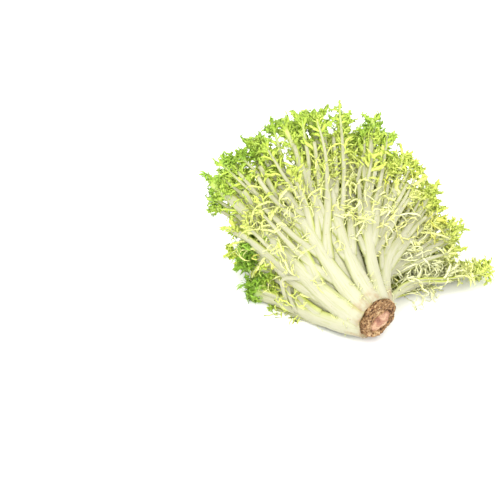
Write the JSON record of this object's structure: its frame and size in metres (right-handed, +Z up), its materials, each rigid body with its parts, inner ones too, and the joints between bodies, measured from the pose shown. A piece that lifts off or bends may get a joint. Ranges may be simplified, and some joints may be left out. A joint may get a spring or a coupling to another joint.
{
  "type": "curly endive head",
  "caption": "Whole head of curly endive lying on its side, cut at the root, with pale ribs fanning from a short brown stem end into finely cut, frilly green leaves.",
  "frame": {"origin": "centre of the footprint, on the surface that the head lies on", "axes": "+X across the fan of leaves, to the right seen from the cut end; +Y from the cut end towards the leaf tips; +Z up"},
  "size_m": [0.2864, 0.2044, 0.1673],
  "materials": {
    "root_end": "rough",
    "outer_leaf": "semi-matte",
    "inner_leaf": "semi-matte",
    "heart_leaf": "semi-matte"
  },
  "bodies": {
    "root": {"stem": "root_end", "leaf_1_01": "outer_leaf", "leaf_1_02": "outer_leaf", "leaf_1_03": "outer_leaf", "leaf_1_04": "outer_leaf", "leaf_1_05": "outer_leaf", "leaf_1_06": "outer_leaf", "leaf_1_07": "outer_leaf", "leaf_1_08": "outer_leaf", "leaf_1_09": "outer_leaf", "leaf_1_10": "outer_leaf", "leaf_2_01": "outer_leaf", "leaf_2_02": "outer_leaf", "leaf_2_03": "outer_leaf", "leaf_2_04": "outer_leaf", "leaf_2_05": "outer_leaf", "leaf_2_06": "outer_leaf", "leaf_2_07": "outer_leaf", "leaf_2_08": "outer_leaf", "leaf_2_09": "outer_leaf", "leaf_2_10": "outer_leaf", "leaf_3_01": "inner_leaf", "leaf_3_02": "inner_leaf", "leaf_3_03": "inner_leaf", "leaf_3_04": "inner_leaf", "leaf_3_05": "inner_leaf", "leaf_3_06": "inner_leaf", "leaf_3_07": "inner_leaf", "leaf_3_08": "inner_leaf", "leaf_3_09": "inner_leaf", "leaf_3_10": "inner_leaf", "leaf_4_01": "inner_leaf", "leaf_4_02": "inner_leaf", "leaf_4_03": "inner_leaf", "leaf_4_04": "inner_leaf", "leaf_4_05": "inner_leaf", "leaf_4_06": "inner_leaf", "leaf_4_07": "inner_leaf", "leaf_4_08": "inner_leaf", "leaf_5_01": "heart_leaf", "leaf_5_02": "heart_leaf", "leaf_5_03": "heart_leaf", "leaf_5_04": "heart_leaf", "leaf_5_05": "heart_leaf"}
  },
  "joints": []
}
